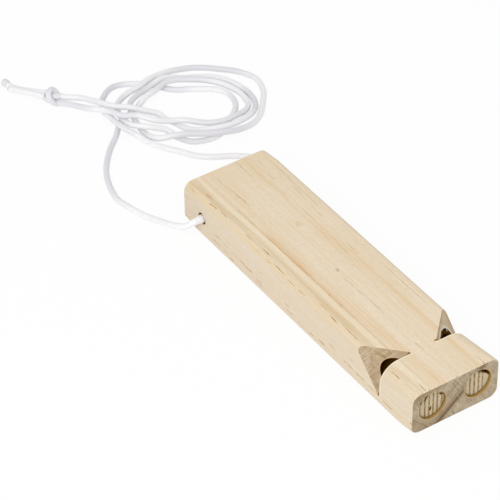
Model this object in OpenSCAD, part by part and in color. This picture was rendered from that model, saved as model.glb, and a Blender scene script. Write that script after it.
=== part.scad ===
// Two-note wooden train whistle on a looped neck cord, in millimetres.
// X runs across the block, Y along it with the mouth end at -Y, and Z up from the face it lies on.

/* [Block] */
// Width of the pine block
block_w = 38.6; // [34:0.2:46]
// Length of the block from mouth end to tail
block_l = 146; // [120:1:180]
// Height of the block
block_h = 18.5; // [17:0.5:24]
// Rounding of the four long edges
edge_r = 2.5; // [1:0.1:4]
// Wider rounding that sanding gives the corners of both ends
corner_r = 4; // [2.5:0.1:5]
// Length over which the edges widen to that rounding
corner_l = 8; // [5:0.5:10]
// Small chamfer that eases the edges of both sawn ends
end_ease = 0.4; // [0.2:0.1:1]

/* [Bores] */
// Diameter of the two sounding bores
bore_d = 12; // [9:0.1:13]
// Wood between a bore and the side of the block
side_wall = 3.3; // [2.5:0.1:5]
// Wood between a bore and the top of the block
top_wall = 2.3; // [2:0.1:4]
// Wood between the drill point of the deeper bore and the cord hole
bore_end_wall = 7.3; // [4:0.1:20]
// How much shorter the higher-voiced right bore is
note_step = 18; // [8:0.5:30]
// Point angle of the drill
drill_point = 118; // [90:1:140]

/* [Fipple plugs] */
// How far the plugs sit behind the mouth face
plug_recess = 1.2; // [0.2:0.1:3]
// Glue film between a plug and its bore
glue_film = 0.05; // [0.02:0.01:0.1]
// Height of the windway over the flat of a plug
windway = 1.6; // [0.8:0.1:2.2]

/* [Sounding notches] */
// Distance from the mouth face to the front wall of the notches
notch_start = 19; // [14:0.1:24]
// Width of the saw kerf at the foot of that wall
kerf_w = 1.1; // [0.8:0.1:2]
// How much deeper the saw ran than the slope behind it
kerf_extra = 0.2; // [0.1:0.1:1]
// Rounding of the sanded lips in front of the notches
lip_r = 8; // [4:0.1:8.4]
// How far the left notch cuts into its bore, which sets the size of the window
left_window_cut = 3; // [2:0.1:4.5]
// How far the right notch cuts into its bore
right_window_cut = 2.7; // [2:0.1:4.5]
// Length of the left slope, from the kerf to where it leaves the corner of the block
left_slope_l = 13.9; // [10:0.1:18]
// Length of the right slope
right_slope_l = 13.2; // [9:0.1:16]

/* [Cord hole] */
// Diameter of the cross hole for the cord
cord_hole_d = 5; // [4:0.1:6]
// Distance from the tail to the cross hole
cord_hole_inset = 12.6; // [9:0.1:18]
// Height of the cross hole
cord_hole_z = 9.4; // [8:0.1:11]

/* [Neck cord] */
// Diameter of the satin cord
cord_d = 2.4; // [2:0.1:2.6]
// Clearance between the cord and the floor of its hole on the near side
near_rest = 1.2; // [0.2:0.1:1.3]
// Clearance between the cord and the floor of its hole on the far side
far_rest = 0.3; // [0.2:0.1:0.6]
// Clearance where one stretch of cord crosses or passes another
cross_gap = 0.5; // [0.45:0.05:0.8]
// Length of the knot that ties the two ends together
knot_l = 6; // [5.5:0.1:8]
// Radius of the knot's wraps, to the middle of the cord
wrap_r = 2.5; // [2.2:0.1:3]
// Distance between the two wraps
wrap_pitch = 2.2; // [1.8:0.1:2.3]
// Slant of the wraps across the knot
wrap_slant = 10; // [0:1:12]
// Diameter of the sealed end of the near cord tip
near_tip_d = 2.6; // [2.5:0.1:3.2]
// Diameter of the sealed end of the far cord tip
far_tip_d = 3.6; // [3:0.1:4.2]

/* [Hidden] */
$fn = 64;

left = -1;
right = 1;
pine = [0.88, 0.80, 0.66];
dowel = [0.80, 0.72, 0.56];
satin = [0.95, 0.95, 0.97];

// Cutting tools reach this far past the faces that they open
past = 2;

// Steps round each corner of the block's cross-section
corner_steps = 10;

// Places along and across the block
mouth_y = -block_l / 2;
tail_y = block_l / 2;
bore_x = block_w / 2 - side_wall - bore_d / 2;
bore_z = block_h - top_wall - bore_d / 2;
cord_hole_y = tail_y - cord_hole_inset;

// Bore depths to the end of the full diameter: the left bore stops short of the cord hole
drill_tip = bore_d / 2 / tan(drill_point / 2);
left_bore_l = block_l - cord_hole_inset - cord_hole_d / 2 - bore_end_wall - drill_tip;
right_bore_l = left_bore_l - note_step;

// Fipple plugs end level with the front wall of the notches
plug_d = bore_d - 2 * glue_film;
plug_l = notch_start - plug_recess;
plug_flat = bore_d / 2 - windway;

// The notches are cut square to the diagonal through the block's upper corners
cut_turn = 45;
corner_to_bore = (side_wall + top_wall + bore_d) / sqrt(2) - bore_d / 2;
lip_y = mouth_y + notch_start;

// The upper edges widen steadily from the mouth to the lips: their rounding where the lower corners end
shoulder_r = corner_r + (lip_r - corner_r) * corner_l / notch_start;

// The cord slants through its hole, and lies one layer over another where it crosses itself
near_rest_z = cord_hole_z - cord_hole_d / 2 + near_rest;
far_rest_z = cord_hole_z - cord_hole_d / 2 + far_rest;
layer_step = cord_d + cross_gap;

// Sides of the swept tubes: the plain stretches are a little rounder than the coils
run_sides = 8;
coil_sides = 6;

// Route points give x, y and the height of the cord's underside over the surface that the block lies on.
// The first straight stretch leaves the hole square to the side of the block.
near_straight = 3.5;
far_straight = 1.5;
near_run = [
    [-block_w / 2, cord_hole_y, near_rest_z],
    [-block_w / 2 - near_straight, cord_hole_y, near_rest_z],
    [-26, 62, 6.3], [-28.5, 67, 4.8], [-29.5, 73, 2.8], [-30.5, 79, 1], [-32, 85, 0], [-33.5, 91, 0],
    [-34.5, 97, 0], [-33.5, 103, 0], [-31.5, 109, 0], [-28.5, 115, 0], [-24.5, 120.5, 0], [-19.5, 126, 0]
];
far_run = [
    [block_w / 2, cord_hole_y, far_rest_z],
    [block_w / 2 + far_straight, cord_hole_y, far_rest_z],
    [24.2, 61.8, 6.2], [25.7, 65.4, 4], [26.3, 70, 1.6], [26.7, 75, 0.3], [26.8, 80, 0], [26, 85, 0],
    [22.5, 90, 0], [17, 94.5, 0], [11, 98, 0], [6, 102, 0], [2, 108, 0], [-2, 114, 0], [-5, 120, 0],
    [-7, 125.5, 1]
];
near_tail = [[-8.5, 134.5, 6.1], [-11.5, 140, 6.1], [-14, 145, 5], [-16, 150, 3.4], [-18, 155, 2.3]];
far_tail = [
    [2, 133.5, 4.4], [-3, 137, 6.1], [-8, 141.5, 6.1], [-10.5, 147, 5.4], [-12, 152.5, 3.8], [-14, 157.5, 2.9]
];

// The loops turn about one middle, clockwise from above, with twelve hours to a loop from the -X side.
// Reach is the distance from the middle at each hour, and lift the layer that the cord lies in.
coil_mid = [20, 131];
hours = 12;
steps_per_hour = 2;
near_reach = [34, 21, 15, 15.5, 15, 17, 21.5, 24.5, 22, 17.5, 13, 14.5, 23.5];
far_reach = [
    30.5, 34, 33, 15, 12, 13.5, 18, 19.5, 19, 22.5, 22.5, 18.5,
    27, 28, 22, 22.5, 26, 28.5, 33.5, 30.5, 29, 25, 21.5, 24.5,
    23, 23, 18.5, 18.5, 19, 22.5, 25, 27.5, 25.5, 21.5, 14.5, 12, 14
];
near_lift = [[1, 0], [1.5, 1], [2, 1.1], [3.5, 1.1], [5, 0.7], [6, 0.2], [7, 0], [8, 1.1], [11, 1.1], [12, 2.1]];
far_lift = [
    [0.5, 1.1], [1, 0.3], [1.5, 0], [10.5, 0], [11, 0.5], [11.5, 1.1], [14.5, 1.1], [16, 0], [19.5, 0],
    [21, 1.1], [22.5, 1.1], [23, 0.5], [23.5, 0], [24, 0.1], [24.5, 0.9], [25, 1.1], [27, 1.1], [28, 0.2],
    [28.5, 0], [31, 0], [32, 0.9], [32.5, 1.1], [33, 1.1], [33.5, 0.5], [34, 0], [34.5, 0], [35.5, 0.5], [36, 1]
];

// The knot lies on the ground, turned this far from +X, with the two strands side by side through it
knot_turn = 122;
knot_at = [-22.5, 165.5, wrap_r + cord_d / 2];
knot_along = [cos(knot_turn), sin(knot_turn), 0];
knot_across = [-sin(knot_turn), cos(knot_turn), 0];

// Middle points and ends of the two tips beyond the knot
near_tip_mid = [[-29.5, 174, 1.4], [-31.5, 178.5, 0.3]];
near_tip_end = [-33.5, 181.5];
far_tip_mid = [[-26.5, 175, 1.6], [-29.5, 181, 1]];
far_tip_end = [-32.5, 187];

// Rings round the sealed end of a tip, up to this turn from its neck
seal_rings = 5;
seal_turn = 155;

// The gap test looks at points this close together, and leaves out neighbours along the cord
test_step = 1.2;
test_skip = 14;

// Centres of the cord over a list of route points
function laid(points) = [for (p = points) [p.x, p.y, p.z + cord_d / 2]];

// Smooth curve through b and c, with a and d beyond them
function cubic(a, b, c, d, t) =
    (2 * b + (c - a) * t + (2 * a - 5 * b + 4 * c - d) * t ^ 2 + (3 * b - a - 3 * c + d) * t ^ 3) / 2;

// Reach of a coil at any hour
function reach_at(reach, hour) =
    let (
        last = len(reach) - 1,
        i = min(floor(hour), last - 1)
    )
    cubic(reach[max(i - 1, 0)], reach[i], reach[i + 1], reach[min(i + 2, last)], hour - i);

// Centres of the cord along a coil
function coil(reach, lift) = [
    for (step = [0:steps_per_hour * (len(reach) - 1)])
        let (
            hour = step / steps_per_hour,
            turn = 360 * hour / hours,
            r = reach_at(reach, hour)
        )
        [coil_mid.x - r * cos(turn), coil_mid.y + r * sin(turn), cord_d / 2 + layer_step * lookup(hour, lift)]
];

// Where a strand meets an end of the knot: entry is before it and exit beyond, lead is one diameter out
function knot_face(end, side) = knot_at + end * knot_l / 2 * knot_along + side * layer_step / 2 * knot_across;
function knot_lead(end, side) = knot_face(end, side) + end * cord_d * knot_along;

entry = -1;
exit = 1;
near_side = 1;
far_side = -1;

near_coil = coil(near_reach, near_lift);
far_coil = coil(far_reach, far_lift);
near_route = concat(
    laid(near_run), near_coil, laid(near_tail), [knot_lead(entry, near_side), knot_face(entry, near_side)]
);
far_route = concat(
    laid(far_run), far_coil, laid(far_tail), [knot_lead(entry, far_side), knot_face(entry, far_side)]
);

// Centres of the cord along a tip, up to its sealed end
function tip_route(side, mid, end, d) = concat(
    [knot_face(exit, side), knot_lead(exit, side)], laid(mid), [[end.x, end.y, d / 2]]
);
near_tip = tip_route(near_side, near_tip_mid, near_tip_end, near_tip_d);
far_tip = tip_route(far_side, far_tip_mid, far_tip_end, far_tip_d);

// Heading of a route at one of its points
function unit(v) = v / norm(v);
function heading(route, i) = unit(route[min(i + 1, len(route) - 1)] - route[max(i - 1, 0)]);

// Ring of corners round a route, square to its heading
function ring(centre, along, r, sides) =
    let (
        side = unit(cross(along, [0, 0, 1])),
        up = cross(side, along)
    )
    [for (k = [0:sides - 1]) centre + r * (cos(360 * k / sides) * side + sin(360 * k / sides) * up)];

// Rings from one point of a route to another
function route_rings(route, first, last, sides) = [
    for (i = [first:last]) ring(route[i], heading(route, i), cord_d / 2, sides)
];

// Rings of the ball at the sealed end of a tip, from where it leaves the cord
function seal_ball(centre, along, d) =
    let (neck_turn = asin(cord_d / d))
    [
        for (k = [0:seal_rings - 1])
            let (turn = neck_turn + (seal_turn - neck_turn) * k / (seal_rings - 1))
            ring(centre - d / 2 * cos(turn) * along, along, d / 2 * sin(turn), run_sides)
    ];

// Points at an even step along a route, for the gap test
function fine(route) = [
    for (i = [0:len(route) - 2])
        let (parts = ceil(norm(route[i + 1] - route[i]) / test_step))
        for (k = [0:parts - 1])
            route[i] + (route[i + 1] - route[i]) * k / parts
];
function reversed(list) = [for (i = [len(list) - 1:-1:0]) list[i]];
function least_gap(points) = min([
    for (i = [0:len(points) - 1])
        for (j = [i + test_skip:1:len(points) - 1])
            norm(points[i] - points[j])
]) - cord_d;

// One closed skin over a row of rings
module skin(rings) {
    sides = len(rings[0]);
    end = (len(rings) - 1) * sides;
    walls = [
        for (i = [0:len(rings) - 2])
            for (k = [0:sides - 1])
                let (
                    a = i * sides + k,
                    b = i * sides + (k + 1) % sides
                )
                each [[a, b, b + sides], [a, b + sides, a + sides]]
    ];
    start_cap = [for (k = [1:sides - 2]) [0, k + 1, k]];
    end_cap = [for (k = [1:sides - 2]) [end, end + k, end + k + 1]];
    polyhedron([for (r = rings) each r], concat(start_cap, walls, end_cap));
}

// Stretches of a route: the run up to its coil, the coil, and the tail from the coil to the knot
module run_tube(route, run) {
    skin(route_rings(route, 0, len(run), run_sides));
}
module coil_tube(route, run, coil) {
    skin(route_rings(route, len(run), len(run) + len(coil) - 1, coil_sides));
}
module tail_tube(route, run, coil) {
    skin(route_rings(route, len(run) + len(coil) - 1, len(route) - 1, run_sides));
}
module tip_tube(route, d) {
    last = len(route) - 1;
    skin(concat(
        route_rings(route, 0, last - 1, run_sides),
        seal_ball(route[last], heading(route, last), d)
    ));
}

// One cross-section of the block, square to Y: each corner is an arc about its own middle
function section(y, upper_r, lower_r, inset) = [
    for (corner = [[right, 1, 0], [left, 1, 90], [left, 0, 180], [right, 0, 270]])
        let (
            r = corner[1] ? upper_r : lower_r,
            mid_x = corner[0] * (block_w / 2 - r),
            mid_z = corner[1] ? block_h - r : r
        )
        for (step = [0:corner_steps])
            let (turn = corner[2] + 90 * step / corner_steps)
            [mid_x + (r - inset) * cos(turn), y, mid_z + (r - inset) * sin(turn)]
];

// The block before it is cut. Sanding widens the rounding at both ends and on the lips, and the notches
// cut away the upper corners where the rounding narrows again behind the lips.
module blank() {
    skin([
        section(mouth_y, corner_r, corner_r, end_ease),
        section(mouth_y + end_ease, corner_r, corner_r, 0),
        section(mouth_y + corner_l, shoulder_r, edge_r, 0),
        section(lip_y + kerf_w / 3, lip_r, edge_r, 0),
        section(lip_y + kerf_w * 2 / 3, edge_r, edge_r, 0),
        section(tail_y - corner_l, edge_r, edge_r, 0),
        section(tail_y - end_ease, corner_r, corner_r, 0),
        section(tail_y, corner_r, corner_r, end_ease)
    ]);
}

// Blind drilled bore from the mouth face
module bore(side, depth) {
    translate([side * bore_x, mouth_y, bore_z])
        rotate([-90, 0, 0]) {
            translate([0, 0, -past])
                cylinder(d = bore_d, h = depth + past);
            translate([0, 0, depth])
                cylinder(d1 = bore_d, d2 = 0, h = drill_tip);
        }
}

// Sounding notch across an upper corner: a saw kerf in front of a slope
module notch(side, window_cut, slope_l) {
    notch_depth = corner_to_bore + window_cut;
    kerf_end = notch_start + kerf_w;
    slope_past = slope_l * (1 + past / notch_depth);
    translate([side * block_w / 2, mouth_y, block_h])
        rotate([0, side * cut_turn, 0])
            rotate([90, 0, 90])
                linear_extrude(2 * (block_w + block_h), center = true)
                    polygon([
                        [notch_start, past],
                        [notch_start, -notch_depth - kerf_extra],
                        [kerf_end, -notch_depth - kerf_extra],
                        [kerf_end, -notch_depth],
                        [kerf_end + slope_past, past]
                    ]);
}

module whistle_body() {
    color(pine)
        difference() {
            blank();
            bore(left, left_bore_l);
            bore(right, right_bore_l);
            notch(left, left_window_cut, left_slope_l);
            notch(right, right_window_cut, right_slope_l);
            translate([0, cord_hole_y, cord_hole_z])
                rotate([0, 90, 0])
                    cylinder(d = cord_hole_d, h = block_w + 2 * past, center = true);
        }
}

// Dowel with a flat towards the upper outer corner, which leaves the windway
module fipple_plug(side) {
    color(dowel)
        translate([side * bore_x, mouth_y + plug_recess, bore_z])
            rotate([0, side * cut_turn, 0])
                rotate([-90, 0, 0])
                    difference() {
                        cylinder(d = plug_d, h = plug_l);
                        translate([-bore_d / 2, -plug_flat - bore_d, -past])
                            cube([bore_d, bore_d, plug_l + 2 * past]);
                    }
}

module left_fipple_plug() {
    fipple_plug(left);
}

module right_fipple_plug() {
    fipple_plug(right);
}

module cord_in_hole() {
    color(satin)
        skin([for (route = [near_route, far_route]) ring(route[0], [1, 0, 0], cord_d / 2, run_sides)]);
}

module cord_near_run() {
    color(satin)
        run_tube(near_route, near_run);
}

module cord_near_coil() {
    color(satin)
        coil_tube(near_route, near_run, near_coil);
}

module cord_near_tail() {
    color(satin)
        tail_tube(near_route, near_run, near_coil);
}

module cord_near_tip() {
    color(satin)
        tip_tube(near_tip, near_tip_d);
}

module cord_far_run() {
    color(satin)
        run_tube(far_route, far_run);
}

module cord_far_coil() {
    color(satin)
        coil_tube(far_route, far_run, far_coil);
}

module cord_far_tail() {
    color(satin)
        tail_tube(far_route, far_run, far_coil);
}

module cord_far_tip() {
    color(satin)
        tip_tube(far_tip, far_tip_d);
}

// The two strands pulled together, with two slanted wraps round them
module cord_knot() {
    color(satin)
        translate(knot_at)
            rotate([0, 0, knot_turn]) {
                rotate([90, 0, 90])
                    linear_extrude(knot_l, center = true) {
                        square([layer_step, cord_d], center = true);
                        for (side = [near_side, far_side])
                            translate([side * layer_step / 2, 0])
                                circle(d = cord_d);
                    }
                for (end = [entry, exit])
                    translate([end * wrap_pitch / 2, 0, 0])
                        rotate([0, 90, wrap_slant])
                            rotate_extrude()
                                translate([wrap_r, 0])
                                    circle(d = cord_d);
            }
}

echo(least_cord_gap = least_gap(concat(reversed(concat(fine(far_route), fine(far_tip))),
        fine(near_route), fine(near_tip))));

whistle_body();
left_fipple_plug();
right_fipple_plug();
cord_in_hole();
cord_near_run();
cord_near_coil();
cord_near_tail();
cord_near_tip();
cord_far_run();
cord_far_coil();
cord_far_tail();
cord_far_tip();
cord_knot();
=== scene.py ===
"""Looks of the wooden train whistle: pine block, dowel plugs and a knotted satin neck cord."""
import math
from types import SimpleNamespace

import bpy
import numpy as np
from mathutils import Matrix, Vector


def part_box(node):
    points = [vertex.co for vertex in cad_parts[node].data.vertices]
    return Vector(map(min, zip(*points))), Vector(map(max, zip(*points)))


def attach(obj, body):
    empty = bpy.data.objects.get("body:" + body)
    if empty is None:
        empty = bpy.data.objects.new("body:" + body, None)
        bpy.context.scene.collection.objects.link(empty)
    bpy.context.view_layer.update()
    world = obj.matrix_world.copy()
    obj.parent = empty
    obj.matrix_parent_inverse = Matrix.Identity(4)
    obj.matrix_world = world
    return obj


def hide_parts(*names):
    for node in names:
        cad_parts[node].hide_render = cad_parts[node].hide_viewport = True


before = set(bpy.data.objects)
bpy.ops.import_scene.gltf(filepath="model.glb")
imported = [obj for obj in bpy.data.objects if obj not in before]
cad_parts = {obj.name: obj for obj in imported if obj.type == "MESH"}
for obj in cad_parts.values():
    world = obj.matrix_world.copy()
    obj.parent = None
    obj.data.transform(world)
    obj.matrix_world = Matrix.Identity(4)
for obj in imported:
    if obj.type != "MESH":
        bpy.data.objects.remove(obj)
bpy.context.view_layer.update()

MM = 0.001


def box_mm(node):
    """A node's lowest and highest corners, in millimetres."""
    return [np.array(corner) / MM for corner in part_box(node)]


def rgb(red, green, blue):
    """A colour of a picture's scale, 0 to 255, as the shaders take it."""
    shares = [c / 255 for c in (red, green, blue)]
    linear = [s / 12.92 if s <= 0.04045 else ((s + 0.055) / 1.055) ** 2.4 for s in shares]
    return (*linear, 1.0)


# Camera, fitted to the photograph: degrees, metres, and millimetres of lens and sensor
CAMERA_AZIMUTH = -33.70
CAMERA_ELEVATION = 40.13
CAMERA_ROLL = 0.66
CAMERA_DISTANCE = 1.1039
CAMERA_TARGET = (-0.00855, 0.0439, 0)
CAMERA_CLIP = (0.01, 10)
LENS = 209.20
SENSOR_WIDTH = 36

# Stage, in metres: half the floor's side, how much of it glows white, the sky and the one lamp
WHITE = (1, 1, 1, 1)
FLOOR_HALF = 3.0
FLOOR_DROP = 0.05 * MM
FLOOR_COLOUR = (0.95, 0.95, 0.95, 1)
FLOOR_GLOW = 0.92
SKY_COLOUR = (1, 0.995, 0.985, 1)
SKY_STRENGTH = 0.72
LAMP_AT = (-0.65, -0.45, 0.75)
LAMP_AIM = (0, 0.03, 0)
LAMP_SIZE = 0.5
LAMP_POWER = 4.6

# Block, plugs and cord hole, read from the frame, in millimetres
block_low, block_high = box_mm("whistle_body")
half_w = block_high[0]
mouth_y = block_low[1]
top_z = block_high[2]
plug_low, plug_high = box_mm("left_fipple_plug")
bore_x = -(plug_low[0] + plug_high[0]) / 2
bore_z = (plug_low[2] + plug_high[2]) / 2
plug_y = plug_low[1]
lip_y = plug_high[1]
hole_low, hole_high = box_mm("cord_in_hole")
cord_d = hole_high[1] - hole_low[1]
cord_r = cord_d / 2
hole_y = (hole_low[1] + hole_high[1]) / 2
near_rest_z = hole_high[2] - cord_d
far_rest_z = hole_low[2]

# Sizes of the bores, the sounding notches and the cord hole, as in the part's source
BORE_R = 6
KERF_W = 1.1
NOTCH_DEPTH = 9.445
HOLE_R = 2.5
HOLE_Z = 9.4

# Route of the cord as in the part's source: x, y and the height of the cord's underside
NEAR_STRAIGHT = 3.5
FAR_STRAIGHT = 1.5
CROSS_GAP = 0.5
SATIN_R = 1.01 * cord_r
LAYER_STEP = cord_d + CROSS_GAP
NEAR_RUN = [
    [-half_w, hole_y, near_rest_z],
    [-half_w - NEAR_STRAIGHT, hole_y, near_rest_z],
    [-26, 62, 6.3], [-28.5, 67, 4.8], [-29.5, 73, 2.8], [-30.5, 79, 1], [-32, 85, 0], [-33.5, 91, 0],
    [-34.5, 97, 0], [-33.5, 103, 0], [-31.5, 109, 0], [-28.5, 115, 0], [-24.5, 120.5, 0], [-19.5, 126, 0],
]
FAR_RUN = [
    [half_w, hole_y, far_rest_z],
    [half_w + FAR_STRAIGHT, hole_y, far_rest_z],
    [24.2, 61.8, 6.2], [25.7, 65.4, 4], [26.3, 70, 1.6], [26.7, 75, 0.3], [26.8, 80, 0], [26, 85, 0],
    [22.5, 90, 0], [17, 94.5, 0], [11, 98, 0], [6, 102, 0], [2, 108, 0], [-2, 114, 0], [-5, 120, 0],
    [-7, 125.5, 1],
]
NEAR_TAIL = [[-8.5, 134.5, 6.1], [-11.5, 140, 6.1], [-14, 145, 5], [-16, 150, 3.4], [-18, 155, 2.3]]
FAR_TAIL = [
    [2, 133.5, 4.4], [-3, 137, 6.1], [-8, 141.5, 6.1], [-10.5, 147, 5.4], [-12, 152.5, 3.8],
    [-14, 157.5, 2.9],
]

# The loops turn about one middle, with twelve hours to a loop: reach from the middle, and layer, by the hour
COIL_MID = [20, 131]
HOURS = 12
STEPS_PER_HOUR = 2
NEAR_REACH = [34, 21, 15, 15.5, 15, 17, 21.5, 24.5, 22, 17.5, 13, 14.5, 23.5]
FAR_REACH = [
    30.5, 34, 33, 15, 12, 13.5, 18, 19.5, 19, 22.5, 22.5, 18.5,
    27, 28, 22, 22.5, 26, 28.5, 33.5, 30.5, 29, 25, 21.5, 24.5,
    23, 23, 18.5, 18.5, 19, 22.5, 25, 27.5, 25.5, 21.5, 14.5, 12, 14,
]
NEAR_LIFT = [
    [1, 0], [1.5, 1], [2, 1.1], [3.5, 1.1], [5, 0.7], [6, 0.2], [7, 0], [8, 1.1], [11, 1.1], [12, 2.1],
]
FAR_LIFT = [
    [0.5, 1.1], [1, 0.3], [1.5, 0], [10.5, 0], [11, 0.5], [11.5, 1.1], [14.5, 1.1], [16, 0], [19.5, 0],
    [21, 1.1], [22.5, 1.1], [23, 0.5], [23.5, 0], [24, 0.1], [24.5, 0.9], [25, 1.1], [27, 1.1],
    [28, 0.2], [28.5, 0], [31, 0], [32, 0.9], [32.5, 1.1], [33, 1.1], [33.5, 0.5], [34, 0], [34.5, 0],
    [35.5, 0.5], [36, 1],
]

# The knot and the two tips beyond it, by place along the knot, across it and up from its middle
KNOT_TURN = math.radians(122)
KNOT_R = 2.5
knot_at = np.array([-22.5, 165.5, KNOT_R + cord_r])
knot_along = np.array([math.cos(KNOT_TURN), math.sin(KNOT_TURN), 0])
knot_across = np.array([-math.sin(KNOT_TURN), math.cos(KNOT_TURN), 0])
UP = np.array([0, 0, 1.0])
NEAR_ENTRY = [[-5.6, 1.5, -0.9], [-3.2, 1.7, -1.4]]
FAR_ENTRY = [[-5.4, -1.45, 0], [-3, -1.3, 0]]
FAR_CORE = [[-3, -1.3, 0], [-1.5, -0.6, -0.1], [0, -0.2, -0.2], [1.5, -0.7, -0.1], [3, -1.4, -0.1]]
NEAR_TIP = [[3, 1.3, -0.5], [5.5, 1.2, -0.3], [10.5, 0.9, -0.7], [15.5, 0.6, -1.2], [19.2, 0.8, -1.5]]
FAR_TIP = [
    [3, -1.4, -0.1], [5.5, -1.2, -0.6], [10.5, -1.25, -1.5], [16.5, -1.6, -2.4], [20, -1.9, -2.4],
    [23.5, -2.9, -2.0],
]
# The near strand's wrap: turn about the knot in degrees, place along it and share of its radius
WRAP = [
    [-60, -2.3, 1], [-20, -1.1, 1.02], [15, 0, 1.02], [55, 0.8, 1.02], [95, 1, 1.02], [130, 0.6, 1],
    [165, -0.4, 0.95], [205, -0.9, 0.9], [250, -0.3, 0.9], [295, 1.2, 0.8],
]

# The tubes of the cord: points between each two of a route, steps along it, and sides
ROUTE_PIECES = 8
CORE_PIECES = 6
STRAND_STEP = 0.6
KNOT_STEP = 0.4
TUBE_SIDES = 20
CORE_SWELL = 1.2
UV_NAME = "length_turn"

# Each tip swells over its last millimetres, at these places from its end.
# Then the shares of the cord's radius at the last two of them and at the seal, for each tip
TIP_SWELL_AT = [-6, -3.5, -1.8]
NEAR_END = (1.0, 1.0, 0.8)
FAR_END = (1.0, 1.12, 1.3)

# The melted seal round a tip's end: places from there, shares of the seal's radius between neck and point,
# the point's share of the cord's radius, and how much all of it stands over the cord
SEAL_AT = [-2.2, -1.4, -0.6, 0.1, 0.5, 0.7, 0.75]
SEAL_FORM = [1.0, 1.03, 1.0, 0.93, 0.7]
SEAL_POINT = 0.1
SEAL_COVER = 1.02

# Stretches of the two strands where the satin turns from the light: length from, to, then strength
NEAR_SHADES = [
    (34, 100, 0.4), (58, 90, 0.45), (114, 146, 0.35), (168, 202, 0.3), (218, 234, 0.35),
    (238, 264, 0.4),
]
FAR_SHADES = [
    (84, 100, 0.3), (104, 134, 0.5), (138, 160, 0.3), (174, 192, 0.3), (208, 224, 0.35), (252, 264, 0.3),
    (288, 330, 0.45), (358, 400, 0.45), (418, 444, 0.45), (484, 508, 0.5),
]
KNOT_SHADES = [(-30, 60, 0.35)]

# The cord's braid: how often its slant turns over round the cord, and the step between its rows
BRAID_FOLDS = 6
BRAID_STEP = 1.1

# The cord swells where it bends out of the hole's near end: length from there, and share of its radius
EXIT_SWELL = ([0, 0.8, 2.2, 6], [1.45, 1.38, 1.18, 1])
NO_SWELL = ([0, 1], [1, 1])

# Streaks of the pine that show on the top, in millimetres: along y from, to, then x at each end
TOP_LINES = [
    (-80, 80, -10.7, -11.8, 0.22, 0.55),
    (-75, -34, 0.6, -3.3, 0.25, 0.35),
    (-56, -49, -0.9, -1.1, 0.3, 0.6),
    (-43, 0, -0.2, -1.8, 0.22, 0.55),
    (-43, 2, 15.0, 15.0, 0.22, 0.5),
    (-36, -20, 15.1, 14.9, 0.26, 0.5),
    (-76, -66, -13.0, -13.0, 0.3, 0.7),
    (-62.5, -55.5, -16.3, -16.1, 0.28, 0.7),
    (-76, -66, 12.7, 12.6, 0.3, 0.5),
    (-41, -26, -17.2, -16.8, 0.3, 0.6),
    (-27, -20, -17.7, -17.4, 0.26, 0.7),
    (-19, -13, -16.6, -16.6, 0.26, 0.45),
    (6, 15, -18.1, -17.8, 0.28, 0.75),
    (18, 24, -16.6, -16.4, 0.35, 0.8),
    (29, 35, -17.0, -16.9, 0.3, 0.55),
    (46, 51, -17.2, -17.2, 0.28, 0.75),
    (52, 58, -17.4, -17.9, 0.3, 0.7),
    (58, 63, -15.4, -16.4, 0.36, 0.6),
    (43, 67, -6.1, -7.4, 0.22, 0.65),
    (58, 80, -7.0, -7.7, 0.2, 0.4),
    (58, 76, 4.6, 4.1, 0.26, 0.6),
    (66, 75, 4.3, 4.1, 0.28, 0.6),
    (2, 12, 8.1, 8.0, 0.22, 0.35),
    (10, 16, 8.6, 8.6, 0.22, 0.35),
    (22, 40, 9.0, 9.0, 0.22, 0.38),
    (42, 58, 8.6, 8.4, 0.24, 0.36),
    (-1, 10, 10.9, 11.0, 0.22, 0.45),
    (53, 62, 10.2, 10.2, 0.25, 0.42),
    (62, 72, 11.7, 11.9, 0.22, 0.4),
    (24, 36, 12.6, 12.8, 0.22, 0.48),
    (37, 50, 11.5, 11.7, 0.24, 0.35),
    (39, 49, 13.6, 13.6, 0.26, 0.45),
    (49, 58, 13.0, 13.2, 0.22, 0.4),
    (24, 76, 14.6, 15.9, 0.22, 0.5),
]

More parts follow.
